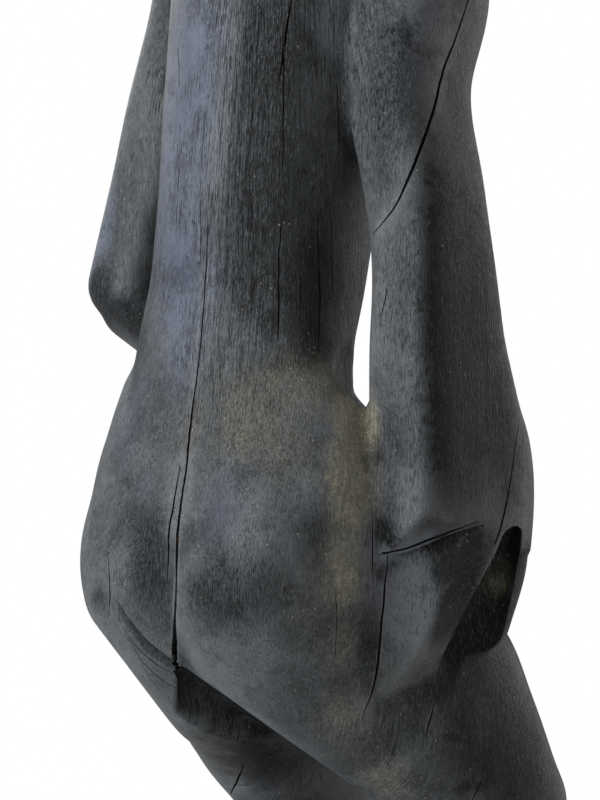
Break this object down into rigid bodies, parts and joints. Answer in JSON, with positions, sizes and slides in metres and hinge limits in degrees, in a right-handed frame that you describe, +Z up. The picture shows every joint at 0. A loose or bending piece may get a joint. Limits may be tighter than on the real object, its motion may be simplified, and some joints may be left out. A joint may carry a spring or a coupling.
{
  "type": "carved wooden figure",
  "caption": "Standing carved hardwood figure with bent knees, one arm down at the hip, one hand on the belly, on a low round base.",
  "frame": {"origin": "on the ground plane under the middle of the round base", "axes": "+Z up from the base to the crown, -Y the way the face looks, +X the figure's left"},
  "size_m": [0.1544, 0.1373, 0.5147],
  "materials": {
    "ironwood": "weathered charcoal grey with a dull sheen"
  },
  "bodies": {
    "root": {"ironwood_figure": "ironwood"}
  },
  "joints": []
}
